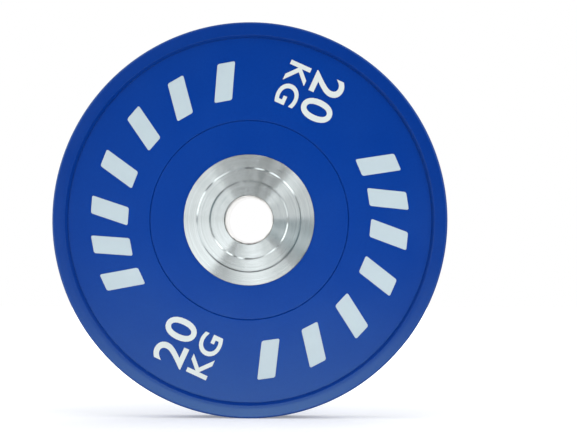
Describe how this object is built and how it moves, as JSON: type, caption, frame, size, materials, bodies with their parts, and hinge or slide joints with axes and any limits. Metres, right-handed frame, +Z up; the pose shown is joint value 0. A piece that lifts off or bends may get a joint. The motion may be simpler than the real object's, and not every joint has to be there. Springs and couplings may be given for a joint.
{
  "type": "olympic weight plate",
  "caption": "Blue rubber bumper plate with a raised rim, recessed faces and a screwed steel hub whose bore slides over the sleeve of a weightlifting bar.",
  "frame": {"origin": "centre of the bore, midway between the front and rear faces", "axes": "+Y along the bar from the front face to the rear face, +Z up, +X to the right seen from the front"},
  "size_m": [0.45, 0.058, 0.45],
  "materials": {
    "blue_rubber": "satin",
    "mark_rubber": "satin",
    "core_steel": "matte",
    "turned_steel": "satin",
    "sleeve_steel": "gloss",
    "screw_steel": "satin",
    "spring_steel": "satin"
  },
  "bodies": {
    "root": {"rubber_body": "blue_rubber", "core_disc": "core_steel", "front_hub_plate": "turned_steel", "rear_hub_plate": "turned_steel", "bore_sleeve": "sleeve_steel", "hub_screw_1": "screw_steel", "hub_screw_2": "screw_steel", "hub_screw_3": "screw_steel", "hub_screw_4": "screw_steel", "hub_screw_5": "screw_steel", "hub_screw_6": "screw_steel", "hub_screw_7": "screw_steel", "hub_screw_8": "screw_steel", "lock_washer_1": "spring_steel", "lock_washer_2": "spring_steel", "lock_washer_3": "spring_steel", "lock_washer_4": "spring_steel", "lock_washer_5": "spring_steel", "lock_washer_6": "spring_steel", "lock_washer_7": "spring_steel", "lock_washer_8": "spring_steel"}
  },
  "joints": []
}
